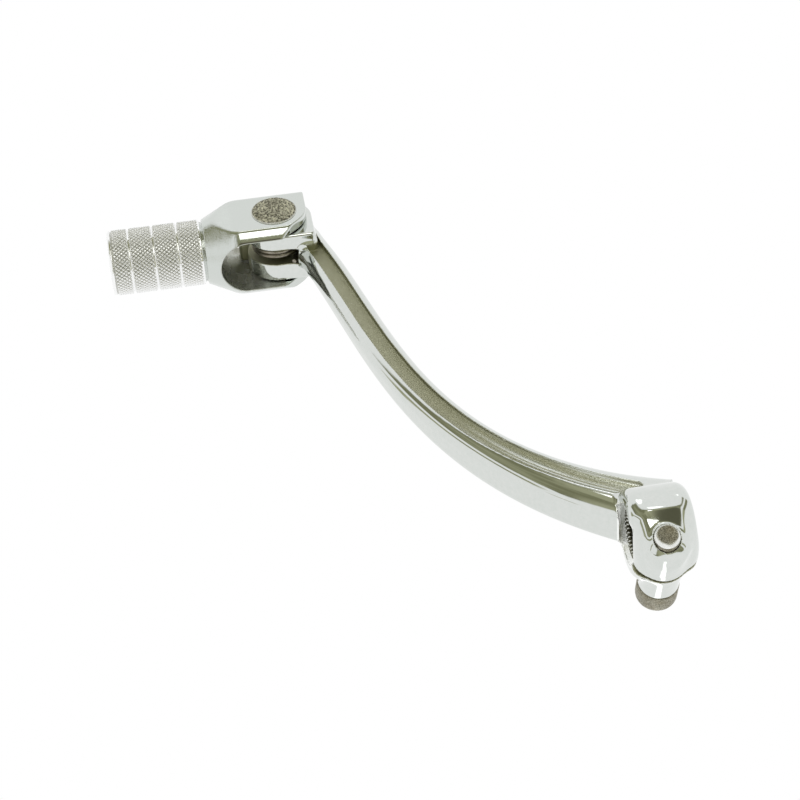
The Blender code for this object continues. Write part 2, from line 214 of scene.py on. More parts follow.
def arm_section(t):
    """Half width, half height and middle height of the arm's section."""
    s = 1 - t
    wide = ARM_WIDE_TIP + (ARM_WIDE_BOSS - ARM_WIDE_TIP) * s**6
    tall = ARM_TALL_TIP + (ARM_TALL_BOSS - ARM_TALL_TIP + ARM_BELLY) * s**2 - ARM_BELLY * s**6
    return wide, tall, -ARM_DROP * s**4


def arm_field(x, y, z):
    """The arm, with a crowned section, and the channel that is cut into both its faces."""
    t, side, along = arm_frame(x, y)
    half, tall, middle = arm_section(t)
    up = np.abs(z - middle)
    a = (np.abs(side) - ARM_FLAT) / (half - ARM_FLAT)
    b = (up - tall + ARM_CROWN) / ARM_CROWN
    reach = np.hypot(np.maximum(a, 0), np.maximum(b, 0)) + np.minimum(np.maximum(a, b), 0)
    body = (reach - 1) * ARM_CROWN
    beyond = np.where(t >= 1, np.maximum(along - ARM_RUN_IN, 0.0), 0.0)
    beyond = np.where(t <= 0, np.abs(along), beyond)
    body = np.where(beyond > 1e-6, np.hypot(np.maximum(body, 0), beyond), body)
    ends = np.maximum(RECESS_T0 - t, t - RECESS_T1) * ARM_LENGTH
    sway = RECESS_SWAY * (1 - t)**4
    channel = rounded_pair(np.abs(side + sway) - RECESS_HALF - sway, ends, RECESS_CORNER)
    hollow = 0.03 + 0.09 * smoothstep(t, 0.6, 0.3)
    floor = tall - RECESS_DEPTH + hollow * (side + sway)**2
    recess = rounded_pair(channel, floor - up, RECESS_EDGE)
    return body, recess


def clamp_frame(x, z):
    c, s = math.cos(CLAMP_TILT), math.sin(CLAMP_TILT)
    return c * x + s * z, -s * x + c * z


def out_of_clamp_frame(points):
    """Points given as u, y, w, turned into x, y, z."""
    c, s = math.cos(CLAMP_TILT), math.sin(CLAMP_TILT)
    turn = np.array(((c, 0, -s), (0, 1, 0), (s, 0, c)))
    return points @ turn.T


def ring_face(u, w):
    """Outer face of the clamp ring; its upper near quarter is cut back beside the ear."""
    return RING_OUTER - RING_CUT_BACK * smoothstep(w, -1.0, 1.5) * smoothstep(-u, 0.5, 2.5)


def ear_crown(u, y):
    """Height of the domed upper ear, which falls away fastest towards its near end."""
    u, y = u - EAR_CREST_U, y - EAR_CREST_Y
    fall = np.where(u < 0, EAR_FALL_NEAR, EAR_FALL) * u**2
    return EAR_TOP - fall - EAR_FALL * y**2 - 0.0012 * y**4


def boss_field(x, y, z):
    """Clamp ring, the bolt's lower column and the upper ear, with its collar; also u, w and radius."""
    u, w = clamp_frame(x, z)
    radial = np.hypot(u, w)
    edge = np.where(y < 0, RING_EDGE_INNER, RING_EDGE_OUTER)
    ring = rounded_pair(radial - RING_RADIUS, np.maximum(y - ring_face(u, w), RING_INNER - y), edge)
    from_bolt = np.hypot(u - BOLT_X, y)
    column = from_bolt - COLUMN_RADIUS
    lower = rounded_pair(column, np.maximum(BOLT_SEAT - w, w - 1.0), 0.5)
    shoulder = box2(u, y, -9.0, 1.6, -6.6, 5.8, 3.0)
    plan = smooth_min(column - UPPER_COLUMN_EXTRA, shoulder, 2.5)
    crown = ear_crown(u, y)
    near_end = smoothstep(-u, EAR_NEAR_START, EAR_NEAR_END)
    ear_edge = EAR_EDGE + (EAR_EDGE_NEAR - EAR_EDGE) * near_end
    upper = rounded_pair(plan, np.maximum((w - crown) * 0.75, -w - 1.0), ear_edge)
    slope = COLLAR_SLOPE + (COLLAR_SLOPE_NEAR - COLLAR_SLOPE) * near_end
    collar = (w - crown - COLLAR_RISE + slope * np.maximum(from_bolt - COLLAR_INNER, 0)) * 0.6
    collar = np.maximum(collar, np.maximum(from_bolt - COLLAR_OUTER, 7.0 - w))
    upper = smooth_min(upper, collar, 0.5)
    body = smooth_min(ring, upper, 2.6)
    body = smooth_min(body, lower, 1.8)
    return body, u, w, radial


def fork_field(x, y, z):
    """Round eye about the pivot, a root with one rounded corner, and the fold stop's corner."""
    right, left = PIVOT_X + FORK_EYE, PIVOT_X - FORK_EYE
    eye = np.hypot(x - PIVOT_X, y - PIVOT_Y) - FORK_EYE
    root = box2(x, y, left, right, FORK_ROOT, PIVOT_Y + 2.0, 1.0)
    turn_x, turn_y = right - FORK_CORNER, FORK_ROOT + FORK_CORNER
    turn = np.hypot(np.maximum(x - turn_x, 0), np.maximum(turn_y - y, 0)) - FORK_CORNER
    root = np.maximum(root, np.where((x > turn_x) & (y < turn_y), turn, -OUTSIDE))
    stop = box2(x, y, PIVOT_X + STOP_START, right, PIVOT_Y - 4.0, PIVOT_Y + STOP_REACH, 1.0)
    plan = np.minimum(np.minimum(eye, root), stop)
    return rounded_pair(plan, np.abs(z) - FORK_HALF, FORK_EDGE)


def bore_field(y, u, w, radial):
    """The bore, with a coned mouth on its outer side."""
    past_face = y - RING_OUTER - 0.9
    mouth = (radial - BORE_RADIUS - (y - ring_face(u, w) + MOUTH_DEPTH)) * math.sqrt(0.5)
    mouth = np.maximum(mouth, np.maximum(radial - MOUTH_RADIUS, past_face))
    mouth = np.where(y > RING_OUTER - 3, mouth, OUTSIDE)
    return np.minimum(np.maximum(radial - BORE_RADIUS, past_face), mouth)


def lever_parts(x, y, z):
    """The forging, and the recess, spring slot and clamp slit that are cut from it."""
    arm, recess = arm_field(x, y, z)
    boss, u, w, radial = boss_field(x, y, z)
    fork = fork_field(x, y, z)
    body = smooth_min(arm, fork, 2.6)
    recess = np.maximum(recess, 0.5 - fork)
    body = smooth_max(body, -recess, 0.3)
    body = smooth_min(body, boss, 1.6)
    body = smooth_max(body, -bore_field(y, u, w, radial), 0.2)
    slit = np.maximum(np.abs(w) - SLIT_HALF, u - SLIT_END)
    body = smooth_max(body, -slit, 0.3)
    hole = np.hypot(u - BOLT_X, y) - BOLT_HOLE
    body = smooth_max(body, -hole, 0.3)
    cutter_y = PIVOT_Y - SPRING_SLOT_DEPTH + SPRING_SLOT_CUTTER
    slot = np.hypot(x - PIVOT_X, y - cutter_y) - SPRING_SLOT_CUTTER
    slot = np.maximum(slot, np.maximum(z - SPRING_SLOT_TOP, SPRING_SLOT_BOTTOM - z))
    body = smooth_max(body, -slot, 0.4)
    rivet = np.hypot(x - PIVOT_X, y - PIVOT_Y) - RIVET_HOLE
    body = np.maximum(body, -rivet)
    return body, recess, slot, slit


def lever_field(points):
    return lever_parts(*points.T)[0]


def clevis_parts(points):
    """The peg's clevis head, cone and neck, and the slot between its jaws."""
    x, y, z = points[:, 0] - PIVOT_X, points[:, 1], points[:, 2]
    radial = np.hypot(x, z)
    slope = (HEAD_RADIUS - PEG_RADIUS) / CONE_LENGTH
    cone = (radial - (HEAD_RADIUS - slope * (y - CONE_START))) / math.hypot(1, slope)
    body = smooth_max(radial - HEAD_RADIUS, cone, 0.8)
    body = smooth_max(body, np.abs(z) - HEAD_HALF, 0.45)
    body = smooth_max(body, y - CONE_START - CONE_LENGTH - 0.1, 0.3)
    neck = np.maximum(radial - NECK_RADIUS, y - PEG_START - 0.4)
    body = smooth_min(body, neck, 0.3)
    cx, cy = x - (HEAD_FLAT_X - PIVOT_X), y - (HEAD_END + HEAD_CORNER)
    flat = -cy - HEAD_CORNER
    slanted = -cx * math.sin(HEAD_SLANT) - cy * math.cos(HEAD_SLANT) - HEAD_CORNER
    heading = np.arctan2(-cx, -cy)
    on_arc = (heading > 0) & (heading < HEAD_SLANT)
    end = np.where(on_arc, np.hypot(cx, cy) - HEAD_CORNER, np.maximum(flat, slanted))
    body = smooth_max(body, end, 0.5)
    slot = np.hypot(np.maximum(y - JAW_DEPTH, 0), z) - JAW_HALF_GAP
    body = smooth_max(body, -slot, 0.5)
    rivet = np.hypot(x, y - PIVOT_Y) - RIVET_HOLE
    body = np.maximum(body, -rivet)
    leg = np.hypot(x - COIL_RADIUS, z - LEG_HEIGHT) - LEG_HOLE
    body = np.maximum(body, -np.maximum(leg, y - LEG_END - 0.4))
    return body, slot


def clevis_field(points):
    return clevis_parts(points)[0]


# ------------------------------------------------------------ surface extraction

def gradient(field, points, reach=0.02):
    slope = np.empty_like(points)
    for axis in range(3):
        shift = np.zeros(3)
        shift[axis] = reach
        slope[:, axis] = field(points + shift) - field(points - shift)
    return slope / (2 * reach)


def sample_blocks(field, low, high, step, size=8):
    """Field values on a grid, exact only in blocks that the surface passes through."""
    low, high = np.array(low, float), np.array(high, float)
    blocks = np.ceil((high - low) / (step * size)).astype(int)
    edge = step * size
    index = np.stack(np.meshgrid(*[np.arange(n) for n in blocks], indexing="ij"), -1).reshape(-1, 3)
    middle = field(low + (index + 0.5) * edge)
    values = np.empty(blocks * size + 1, np.float32)
    for cell, value in zip(index, middle):
        a, b, c = cell * size
        values[a:a + size + 1, b:b + size + 1, c:c + size + 1] = OUTSIDE if value > 0 else -OUTSIDE
    near = index[np.abs(middle) < edge]
    local = np.stack(np.meshgrid(*[np.arange(size + 1)] * 3, indexing="ij"), -1).reshape(-1, 3)
    for start in range(0, len(near), 256):
        group = near[start:start + 256]
        nodes = group[:, None, :] * size + local[None]
        found = field((low + nodes * step).reshape(-1, 3)).astype(np.float32)
        flat = nodes.reshape(-1, 3)
        values[flat[:, 0], flat[:, 1], flat[:, 2]] = found
    return values, low


def surface_net(field, low, high, step):
    """Closed quad mesh of the field's zero surface, with its vertices pulled onto the surface."""
    values, low = sample_blocks(field, low, high, step)
    inside = values < 0
    count = np.zeros(np.array(values.shape) - 1, np.int8)
    corners = [(i, j, k) for i in (0, 1) for j in (0, 1) for k in (0, 1)]
    n = count.shape
    for i, j, k in corners:
        count += inside[i:i + n[0], j:j + n[1], k:k + n[2]]
    active = (count > 0) & (count < 8)
    cells = np.argwhere(active)
    number = np.full(n, -1, np.int32)
    number[active] = np.arange(len(cells))
    total = np.zeros((len(cells), 3))
    hits = np.zeros(len(cells))
    for first in corners:
        for axis in range(3):
            if first[axis]:
                continue
            second = list(first)
            second[axis] = 1
            a = values[tuple((cells + first).T)]
            b = values[tuple((cells + second).T)]
            cross = (a < 0) != (b < 0)
            share = np.where(cross, a / np.where(cross, a - b, 1), 0)
            point = cells + np.array(first, float)
            point[:, axis] += share
            total += point * cross[:, None]
            hits += cross
    points = low + total / hits[:, None] * step
    start = points.copy()
    for _ in range(4):
        distance = field(points)
        slope = gradient(field, points)
        size = np.maximum((slope**2).sum(1), 0.2)
        move = slope * (distance / size)[:, None]
        points = points - move
        points = start + np.clip(points - start, -0.8 * step, 0.8 * step)
    quads = []
    for axis in range(3):
        u, v = (axis + 1) % 3, (axis + 2) % 3
        lower = [slice(None)] * 3
        upper = [slice(None)] * 3
        lower[axis] = slice(0, -1)
        upper[axis] = slice(1, None)
        a, b = inside[tuple(lower)], inside[tuple(upper)]
        edge = np.argwhere(a != b)
        edge = edge[(edge[:, u] > 0) & (edge[:, v] > 0) & (edge[:, u] < n[u]) & (edge[:, v] < n[v])]
        ring = []
        for du, dv in ((-1, -1), (0, -1), (0, 0), (-1, 0)):
            cell = edge.copy()
            cell[:, u] += du
            cell[:, v] += dv
            ring.append(number[tuple(cell.T)])
        quad = np.stack(ring, 1)
        flip = ~a[tuple(edge.T)]
        quad[flip] = quad[flip][:, ::-1]
        quads.append(quad)
    quads = np.concatenate(quads)
    normals = gradient(field, points)
    normals /= np.maximum(np.linalg.norm(normals, axis=1), 1e-6)[:, None]
    return points, quads, normals


# ------------------------------------------------------------ mesh helpers

def make_object(name, points, faces, normals=None):
    mesh = bpy.data.meshes.new(name)
    points = np.asarray(points, float) * MM
    faces = [tuple(map(int, face)) for face in faces]
    mesh.from_pydata(points.tolist(), [], faces)
    mesh.update()
    mesh.shade_smooth()
    if normals is not None:
        mesh.normals_split_custom_set_from_vertices(normals.tolist())
    obj = bpy.data.objects.new(name, mesh)
    bpy.context.scene.collection.objects.link(obj)
    return obj


def set_mask(obj, name, values):
    layer = obj.data.attributes.new(name, "FLOAT", "POINT")
    layer.data.foreach_set("value", np.asarray(values, np.float32))


def grid_faces(rows, columns):
    """Quads between neighbouring rows of points, each row a closed ring."""
    faces = []
    for row in range(rows - 1):
        for column in range(columns):
            nxt = (column + 1) % columns
            a, b = row * columns + column, row * columns + nxt
            faces.append((a, b, b + columns, a + columns))
    return faces


def ring_angles(segments):
    return np.linspace(0, 2 * math.pi, segments, endpoint=False)


def turned_points(stations, radii, segments):
    """Rings about Y; radii is a grid or a column that broadcasts to stations by segments."""
    angle = ring_angles(segments)[None, :]
    radii = np.broadcast_to(radii, (len(stations), segments))
    x = radii * np.cos(angle)
    z = radii * np.sin(angle)
    y = np.broadcast_to(np.asarray(stations)[:, None], x.shape)
    return np.stack([x, y, z], -1).reshape(-1, 3)


def profile_points(profile, segments):
    """Rings about Y from pairs of station and radius; a radius may differ from segment to segment."""
    stations, radii = zip(*profile)
    radii = np.array([np.broadcast_to(radius, segments) for radius in radii])
    return turned_points(stations, radii, segments)


def capped(points, rows, columns):
    """Faces of a ring stack with a fan at each end; returns points and faces."""
    faces = grid_faces(rows, columns)
    first = points[:columns].mean(0)
    last = points[-columns:].mean(0)
    points = np.vstack([points, first, last])
    a, b = len(points) - 2, len(points) - 1
    base = (rows - 1) * columns
    for column in range(columns):
        nxt = (column + 1) % columns
        faces.append((a, nxt, column))
        faces.append((b, base + column, base + nxt))
    return points, faces


def value_noise(points, scale, seed):
    """Smooth noise from -1 to 1 on 3-D points, by hashing the corners of a lattice."""
    p = points / scale
    base = np.floor(p).astype(np.int64)
    f = p - base
    f = f * f * (3 - 2 * f)
    total = np.zeros(len(points))
    for i in (0, 1):
        for j in (0, 1):
            for k in (0, 1):
                n = (base[:, 0] + i) * 374761393 + (base[:, 1] + j) * 668265263
                n = n + (base[:, 2] + k) * 2147483647 + seed * 1274126177
                n = (n ^ (n >> 13)) * 1274126177
                n = (n ^ (n >> 16)) & 0xFFFF
                weight = (f[:, 0] if i else 1 - f[:, 0]) * (f[:, 1] if j else 1 - f[:, 1])
                weight = weight * (f[:, 2] if k else 1 - f[:, 2])
                total += weight * (n / 32767.5 - 1)
    return total


# ------------------------------------------------------------ materials

class Tree:
    """Short-hand for building a node tree."""

    def __init__(self, tree, coordinates):
        self.tree = tree
        self.coords = self.add("ShaderNodeTexCoord").outputs[coordinates]

    def add(self, kind):
        return self.tree.nodes.new(kind)

    def feed(self, socket, value):
        """Link another node's output, or set a value; a colour is given as three numbers."""
        if isinstance(value, bpy.types.NodeSocket):
            self.tree.links.new(value, socket)
        elif socket.type == "RGBA":
            socket.default_value = (*value, 1.0)
        else:
            socket.default_value = value

    def noise(self, scale, detail=3.0, roughness=0.55, vector=None):
        node = self.add("ShaderNodeTexNoise")
        self.feed(node.inputs["Vector"], vector or self.coords)
        self.feed(node.inputs["Scale"], scale)
        self.feed(node.inputs["Detail"], detail)
        self.feed(node.inputs["Roughness"], roughness)
        return node.outputs["Fac"]

    def remap(self, value, low, high, out_low=0.0, out_high=1.0, interpolation="LINEAR"):
        node = self.add("ShaderNodeMapRange")
        node.interpolation_type = interpolation
        self.feed(node.inputs["Value"], value)
        self.feed(node.inputs["From Min"], low)
        self.feed(node.inputs["From Max"], high)
        self.feed(node.inputs["To Min"], out_low)
        self.feed(node.inputs["To Max"], out_high)
        return node.outputs["Result"]

    def math(self, operation, *values):
        node = self.add("ShaderNodeMath")
        node.operation = operation
        for socket, value in zip(node.inputs, values):
            self.feed(socket, value)
        return node.outputs[0]

    def mix(self, factor, a, b, kind="RGBA"):
        node = self.add("ShaderNodeMix")
        node.data_type = kind
        self.feed(node.inputs["Factor"], factor)
        self.feed(node.inputs["A"], a)
        self.feed(node.inputs["B"], b)
        return node.outputs["Result"]


class Metal(Tree):
    """A metal's material. Noise scales are per metre."""

    def __init__(self, name):
        self.material = bpy.data.materials.new(name)
        self.material.use_nodes = True
        super().__init__(self.material.node_tree, "Object")
        self.shader = self.tree.nodes["Principled BSDF"]
        self.feed(self.shader.inputs["Metallic"], 1.0)

    def mask(self, name):
        node = self.add("ShaderNodeAttribute")
        node.attribute_name = name
        return node.outputs["Fac"]

    def stretched(self, x, y, z):
        node = self.add("ShaderNodeMapping")
        self.feed(node.inputs["Vector"], self.coords)
        self.feed(node.inputs["Scale"], (x, y, z))
        return node.outputs["Vector"]

    def spread(self, noise, out_low=0.0, out_high=1.0):
        """A noise's usual range, widened to the range given."""
        return self.remap(noise, 0.3, 0.7, out_low, out_high)

    def bump(self, height, distance, strength=1.0, normal=None):
        node = self.add("ShaderNodeBump")
        self.feed(node.inputs["Height"], height)
        self.feed(node.inputs["Distance"], distance)
        self.feed(node.inputs["Strength"], strength)
        if normal is not None:
            self.feed(node.inputs["Normal"], normal)
        return node.outputs["Normal"]

    def finish(self, colour, roughness, normal):
        self.feed(self.shader.inputs["Base Color"], colour)
        self.feed(self.shader.inputs["Roughness"], roughness)
        self.feed(self.shader.inputs["Normal"], normal)
        return self.material


def polished_material():
    """Bright polished forging: dull and grainy where the first mask is set, as raw forging in the
    recess and as painted shade on the fork's end inside the clevis; matt where satin is.
    """
    n = Metal("polished_aluminium")
    dull_and_painted_shade, satin = n.mask("dull_and_painted_shade"), n.mask("satin")
    haze = n.noise(900.0, 4.0)
    grain = n.noise(5200.0, 2.0, 0.7)
    speck = n.remap(n.noise(2600.0, 1.0), 0.74, 0.80)
    bright = n.mix(n.spread(haze), (0.655, 0.685, 0.655), (0.69, 0.71, 0.685))
    # dull: grainy raw metal colour, which also serves as painted shade on the fork's end inside the
    # clevis
    dull = n.mix(n.spread(grain), (0.37, 0.37, 0.245), (0.415, 0.415, 0.285))
    dull = n.mix(speck, dull, (0.75, 0.76, 0.70))
    colour = n.mix(satin, n.mix(dull_and_painted_shade, bright, dull), (0.92, 0.93, 0.91))
    roughness = n.mix(dull_and_painted_shade, n.spread(haze, 0.045, 0.085), n.spread(grain, 0.30, 0.42), "FLOAT")
    roughness = n.math("MAXIMUM", roughness, n.math("MULTIPLY", satin, 0.34))
    wave = n.bump(n.noise(190.0, 1.0), 0.00006, 0.6)
    normal = n.bump(n.math("MULTIPLY", grain, dull_and_painted_shade), 0.00012, 1.0, wave)
    return n.finish(colour, roughness, normal)


def knurled_material():
    """Turned metal, paler on the grip; painted shade darkens the knurl cuts and the hollow between the
    jaws, and the turned mask sets the lathe marks.
    """
    n = Metal("knurled_aluminium")
    dull_and_painted_shade = n.mask("dull_and_painted_shade")
    haze = n.noise(1500.0, 4.0)
    grain = n.noise(4200.0, 3.0, 0.7)
    pale = n.mix(haze, (0.88, 0.89, 0.88), (0.95, 0.95, 0.95))
    bright = n.mix(n.mask("grip"), (0.63, 0.66, 0.63), pale)
    # dull is the colour of the painted shade in the knurl cuts and in the clevis hollow
    dull = n.mix(n.spread(grain), (0.24, 0.24, 0.19), (0.50, 0.50, 0.43))
    roughness = n.mix(dull_and_painted_shade, n.spread(haze, 0.07, 0.13), 0.34, "FLOAT")
    lathe = n.noise(1.0, 2.0, 0.6, n.stretched(90.0, 7000.0, 90.0))
    sparkle = n.noise(2300.0, 2.0, 0.7)
    marks = n.math("MULTIPLY", n.math("ADD", lathe, sparkle), n.mask("turned"))
    normal = n.bump(n.math("MULTIPLY", grain, dull_and_painted_shade), 0.00015, 1.0, n.bump(marks, 0.00006, 0.8))
    return n.finish(n.mix(dull_and_painted_shade, bright, dull), roughness, normal)


def steel_material(name, dark, light, roughness, grain_scale, relief):
    """Grainy steel with brown patches, and a painted highlight, lighter and smoother, where the mask
    bright is set.
    """
    n = Metal(name)
    painted_highlight = n.mask("bright")
    grain = n.noise(grain_scale, 4.0, 0.75)
    patch = n.remap(n.noise(420.0, 3.0), 0.45, 0.75, 0.0, 0.6)
    brown = (dark[0] * 1.15, dark[1] * 0.98, dark[2] * 0.78)
    colour = n.mix(patch, n.mix(n.remap(grain, 0.41, 0.59), dark, light), brown)
    # painted highlight: a light, smoother colour stands in for glints on rims, crests and chamfers
    colour = n.mix(painted_highlight, colour, (0.80, 0.81, 0.78))
    rough = n.spread(grain, roughness + 0.1, roughness - 0.06)
    rough = n.math("SUBTRACT", rough, n.math("MULTIPLY", painted_highlight, 0.25))
    return n.finish(colour, rough, n.bump(grain, relief))


POLISHED = polished_material()
KNURLED = knurled_material()
RIVET = steel_material("raw_steel", (0.05, 0.048, 0.03), (0.74, 0.72, 0.54), 0.34, 2000.0, 0.0003)
# painted shade: the bore's teeth are coloured near black, as the shade inside the bore
BORE_PAINTED_SHADE = steel_material("bore_painted_shade", (0.08, 0.08, 0.05), (0.22, 0.22, 0.15), 0.5, 2600.0, 0.00005)
SPRING = steel_material("spring_steel", (0.16, 0.15, 0.12), (0.40, 0.37, 0.31), 0.30, 3000.0, 0.00003)
BOLT = steel_material("bolt_steel", (0.14, 0.135, 0.10), (0.42, 0.40, 0.32), 0.42, 3600.0, 0.00008)


# ------------------------------------------------------------ pieces

def build_lever():
    """The forging; raw metal shows in the recess, the spring slot and the slit, and the fork's end
    inside the clevis takes the same dull colour as painted shade.
    """
    low = (-16.6, -9.2, -14.8)
    high = (138.4, 82.2, 12.6)
    points, quads, normals = surface_net(lever_field, low, high, step=0.3)
    obj = make_object("lever_arm_forging", points, quads, normals)
    x, y, z = points.T
    recess, slot, slit = lever_parts(x, y, z)[1:]
    t, side = arm_frame(x, y)[:2]
    streaks = value_noise(np.stack([side * 2.4, t * 9.0, z * 2.0], 1), 1.0, 17)
    worked = np.clip(0.62 + 0.9 * streaks, 0.12, 0.95)
    blend = smoothstep(x, 20.0, 48.0)
    dull_and_painted_shade = smoothstep(recess, 0.12, -0.02) * (blend + (1 - blend) * worked)
    in_fork = x > 100
    in_slot = (np.abs(slot) < 0.12) & (np.abs(z) < 3.0) & in_fork
    in_slit = (np.abs(slit) < 0.1) & (x < 0)
    # the fork's end inside the clevis is painted dull and dark, as shade
    dull_and_painted_shade[in_slot | in_slit | ((y > 78.2) & in_fork)] = 1.0
    set_mask(obj, "dull_and_painted_shade", dull_and_painted_shade)
    set_mask(obj, "satin", smoothstep(np.hypot(x, z), 7.6, 7.1) * (y > 5.0) * (y < 8.0))
    obj.data.materials.append(POLISHED)
    return obj


def build_teeth():
    """Toothed lining of the bore, in the bore's painted shade; the crests carry a painted highlight at
    the outer end.
    """
    segments = TOOTH_COUNT * 12
    phase = (ring_angles(segments) * TOOTH_COUNT / (2 * math.pi)) % 1.0
    tooth = TOOTH_ROOT - TOOTH_HEIGHT * smoothstep(np.abs(phase - 0.5) * 2, 0.15, 0.85)
    outer = BORE_RADIUS + 0.2
    low, high = RING_INNER + 0.5, RING_OUTER - 1.1
    profile = [(low, outer), (low, tooth + 0.2), (low + 0.3, tooth)]
    profile += [(y, tooth) for y in np.linspace(low + 1.0, high - 1.0, 8)]
    profile += [(high - 0.35, tooth), (high, tooth + 0.35), (high, outer)]
    points = profile_points(profile, segments)
    faces = grid_faces(len(profile), segments)
    last = (len(profile) - 1) * segments
    for k in range(segments):
        nxt = (k + 1) % segments
        faces.append((last + k, last + nxt, nxt, k))
    obj = make_object("bore_spline_teeth", out_of_clamp_frame(points), faces)
    # painted highlight on the crests at the outer end
    crest = smoothstep(np.hypot(points[:, 0], points[:, 2]), 5.7, 5.4)
    set_mask(obj, "bright", crest * smoothstep(points[:, 1], high - 0.8, high - 0.5))
    obj.data.materials.append(BORE_PAINTED_SHADE)
    return obj


def build_clevis():
    """Clevis head, cone and neck; the hollow between the jaws is painted dark as shade over its
    as-cast metal, and mottled to stand in for patchy reflections.
    """
    low = (PIVOT_X - 13.0, 59.5, -10.6)
    high = (PIVOT_X + 13.0, 91.6, 10.6)
    points, quads, normals = surface_net(clevis_field, low, high, step=0.25)
    obj = make_object("toe_peg_clevis", points, quads, normals)
    slot = clevis_parts(points)[1]
    # painted shade in the hollow between the jaws
    dull_and_painted_shade = smoothstep(-np.abs(slot), -0.3, -0.05) * (points[:, 1] > 70.0)
    dull_and_painted_shade = dull_and_painted_shade * smoothstep(np.abs(points[:, 0] - PIVOT_X), 12.5, 10.0)
    # mottle: lighter and darker patches in the painted shade, standing in for patchy reflections
    mottle = 0.72 + 0.3 * value_noise(points, 2.2, 11) + 0.15 * value_noise(points, 0.9, 13)
    set_mask(obj, "dull_and_painted_shade", dull_and_painted_shade * np.clip(mottle, 0.3, 1.0))
    set_mask(obj, "turned", smoothstep(points[:, 1], 80.0, 84.0))
    obj.data.materials.append(KNURLED)
    return obj


def knurl_cuts(y, angle):
    """Depth from 0 to 1 of two crossing sets of helical V cuts."""
    pitch = 2 * math.pi * PEG_RADIUS / KNURL_STARTS
    a = angle * KNURL_STARTS / (2 * math.pi)
    b = y / (pitch * 1.15)
    first = np.abs((a + b) % 1.0 - 0.5) * 2
    second = np.abs((a - b) % 1.0 - 0.5) * 2
    return np.maximum(smoothstep(first, 0.5, 1.0), smoothstep(second, 0.5, 1.0))


def build_grip():
    """Knurled barrel with its three turned grooves and a plain rim at each end."""
    segments = 480
    stations = np.arange(PEG_START - 0.6, PEG_END - 0.55, 0.125)
    y = stations[:, None]
    groove = np.zeros_like(y)
    for middle in GROOVES:
        groove = np.maximum(groove, 1 - smoothstep(np.abs(y - middle), 0.14, 0.46))
    line = 1 - smoothstep(np.abs(y - PEG_END + 1.05), 0.1, 0.3)
    near_rim = 1 - smoothstep(y, PEG_START + 0.2, PEG_START + 0.6)
    rims = np.maximum(near_rim, smoothstep(y, PEG_END - 1.3, PEG_END - 1.1))
    cut = knurl_cuts(y, ring_angles(segments)[None, :]) * (1 - np.maximum(groove, rims))
    root = 1 - smoothstep(y, PEG_START - 0.6, PEG_START)
    lowered = KNURL_DEPTH * cut + GROOVE_DEPTH * groove + 0.1 * rims + 0.3 * line + 0.8 * root
    radius = PEG_RADIUS + 0.05 - lowered
    barrel = turned_points(stations, radius, segments)
    shade = np.broadcast_to(np.maximum(cut, 0.8 * line), radius.shape).ravel()
    edge = radius[-1].mean()
    end = []
    for step in np.linspace(0, math.pi / 2, 6):
        station = stations[-1] + 0.05 + 0.5 * math.sin(step)
        end.append((station, edge - 0.6 * (1 - math.cos(step))))
    end += [(PEG_END - 0.02, r) for r in (7.2, 6.0, 4.0, 2.0, 0.6)]
    points = np.vstack([barrel, profile_points(end, segments)])
    points, faces = capped(points, len(stations) + len(end), segments)
    points[:, 0] += PIVOT_X
    obj = make_object("toe_peg_grip", points, faces)
    set_mask(obj, "grip", np.ones(len(points)))
    # painted shade in the knurl cuts and the line near the end
    set_mask(obj, "dull_and_painted_shade", np.append(shade, np.zeros(len(points) - len(shade)))**2.6)
    set_mask(obj, "turned", smoothstep(points[:, 1], PEG_END - 0.9, PEG_END - 0.4))
    obj.data.materials.append(KNURLED)
    return obj


def build_rivet():
    """Peened rivet: two low domed heads with a rough face and the shank between them."""
    segments = 160
    seat = HEAD_HALF - 0.02
    corner = 0.35
    flank = RIVET_HEAD - corner
    crest = seat + RIVET_RISE
    upper = [(crest - RIVET_FALL * (r / RIVET_HEAD)**4, r) for r in np.linspace(0.05, flank, 44)]
    for step in np.linspace(0.15, math.pi / 2, 6):
        height = crest - RIVET_FALL - corner * (1 - math.cos(step))
        upper.append((height, flank + corner * math.sin(step)))
    upper += [(seat, RIVET_HEAD), (seat - 0.02, RIVET_SHANK), (seat - 6.0, RIVET_SHANK)]
    profile = upper + [(-z, r) for z, r in reversed(upper)]
    points = profile_points(profile, segments)[:, [0, 2, 1]]
    reach = np.hypot(points[:, 0], points[:, 1])
    on_face = (np.abs(points[:, 2]) > seat + 0.2) & (reach < RIVET_HEAD - 0.1)
    rough = 0.045 * value_noise(points, 0.28, 3) + 0.03 * value_noise(points, 0.7, 5)
    rough += 0.03 * value_noise(points, 1.6, 9)
    dent = 0.05 * np.minimum(0, value_noise(points, 0.9, 21) + 0.35)
    points[:, 2] += np.where(on_face, (rough + dent) * np.sign(points[:, 2]), 0)
    lobes = 0.06 * value_noise(points, 2.2, 31)
    grow = 1 + lobes * smoothstep(reach, 4.2, 5.8) / 5.8
    points[:, :2] *= grow[:, None]
    points, faces = capped(points, len(profile), segments)
    reach = np.hypot(points[:, 0], points[:, 1])
    points += (PIVOT_X, PIVOT_Y, 0)
    obj = make_object("pivot_rivet_heads", points, [face[::-1] for face in faces])
    # painted highlight round the rim of each head
    set_mask(obj, "bright", 0.8 * smoothstep(reach, 5.55, 5.75))
    obj.data.materials.append(RIVET)
    return obj


